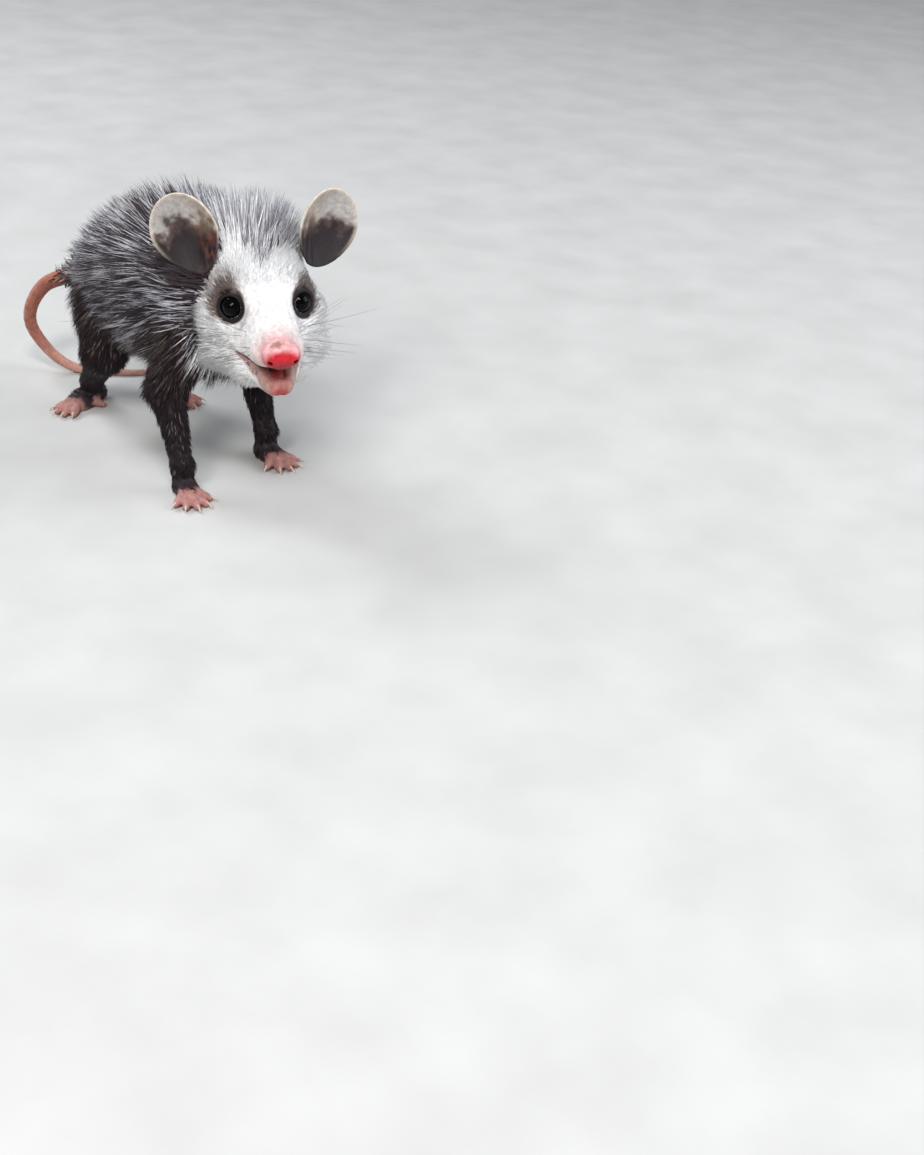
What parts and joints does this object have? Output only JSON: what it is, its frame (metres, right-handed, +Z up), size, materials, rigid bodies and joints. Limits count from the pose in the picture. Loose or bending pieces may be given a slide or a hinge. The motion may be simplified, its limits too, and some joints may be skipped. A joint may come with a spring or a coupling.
{
  "type": "young opossum model",
  "caption": "Life-size still model of a young opossum walking on four feet with its head turned to its right, mouth a little open and bare tail curled down to the ground",
  "frame": {"origin": "on the ground, under the middle of the model's bounding box", "axes": "+X from the rump towards the head, +Y to the animal's left, +Z up"},
  "size_m": [0.193, 0.0756, 0.1108],
  "materials": {
    "face_coat": "short dense fur, white with grey round the eyes and a grey wedge on the forehead",
    "body_coat": "long loose fur, dark underneath with silver-white guard hairs",
    "leg_coat": "short fur",
    "bare_skin": "matte, finely scaled on the tail",
    "ear_skin": "thin and matte, dark at the base and pale towards the top",
    "nose_skin": "moist, satin",
    "mouth_skin": "moist, satin",
    "eye": "glossy black"
  },
  "bodies": {
    "root": {"head": "face_coat", "lower_jaw": "face_coat", "nose": "nose_skin", "tongue": "mouth_skin", "eye_left": "eye", "eye_right": "eye", "ear_left": "ear_skin", "ear_right": "ear_skin", "neck": "body_coat", "torso": "body_coat", "upper_arm_left": "leg_coat", "upper_arm_right": "leg_coat", "forearm_left": "leg_coat", "forearm_right": "leg_coat", "hand_left": "bare_skin", "hand_right": "bare_skin", "thigh_left": "leg_coat", "thigh_right": "leg_coat", "shank_left": "leg_coat", "shank_right": "leg_coat", "foot_left": "bare_skin", "foot_right": "bare_skin", "tail_base": "bare_skin", "tail_upper": "bare_skin", "tail_bend": "bare_skin", "tail_lower": "bare_skin", "tail_tip": "bare_skin"}
  },
  "joints": []
}
